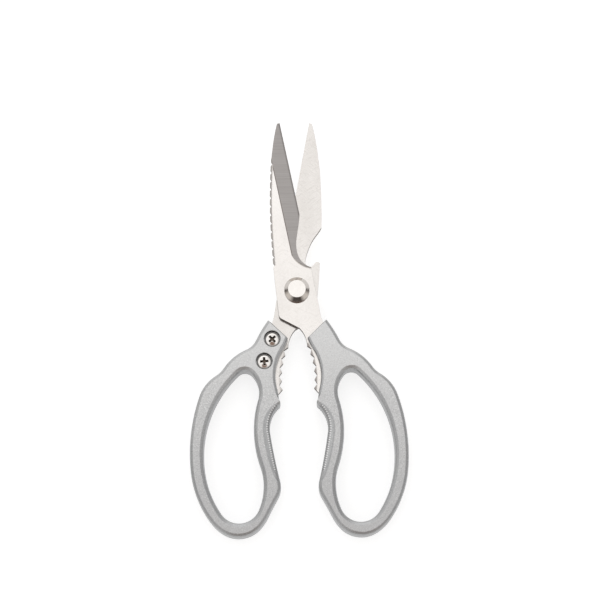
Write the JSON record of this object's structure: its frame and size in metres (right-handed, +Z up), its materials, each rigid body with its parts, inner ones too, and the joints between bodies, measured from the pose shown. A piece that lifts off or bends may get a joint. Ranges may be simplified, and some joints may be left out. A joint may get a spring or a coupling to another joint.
{
  "type": "kitchen shears",
  "caption": "All-metal kitchen shears: plate blades on a pivot stud, with a scaler edge, bone notch, cap-opener hook, toothed jaws, and cast finger loops screwed to the tangs.",
  "frame": {"origin": "middle of the bounding box, at the bottom: the shears lie flat on a table, slightly open, as in the picture", "axes": "+Y from the handles to the blade tips, along the middle line; +X to the right seen from the front; +Z up out of the table, along the pivot stud towards its head"},
  "size_m": [0.1024, 0.2018, 0.012],
  "materials": {
    "blade_steel": "satin",
    "stud_steel": "polished",
    "handle_alloy": "satin",
    "screw_steel": "gloss"
  },
  "bodies": {
    "rear_half": {"rear_blade": "blade_steel", "left_handle": "handle_alloy", "left_upper_screw": "screw_steel", "left_lower_screw": "screw_steel"},
    "front_half": {"front_blade": "blade_steel", "pivot_stud": "stud_steel", "right_handle": "handle_alloy", "right_upper_screw": "screw_steel", "right_lower_screw": "screw_steel"}
  },
  "joints": [
    {"name": "pivot", "type": "hinge", "parent": "rear_half", "child": "front_half", "pos_m": [0, 0.01659, 0.0055], "axis": [0, 0, 1], "range_deg": [-10.6, 80]}
  ]
}
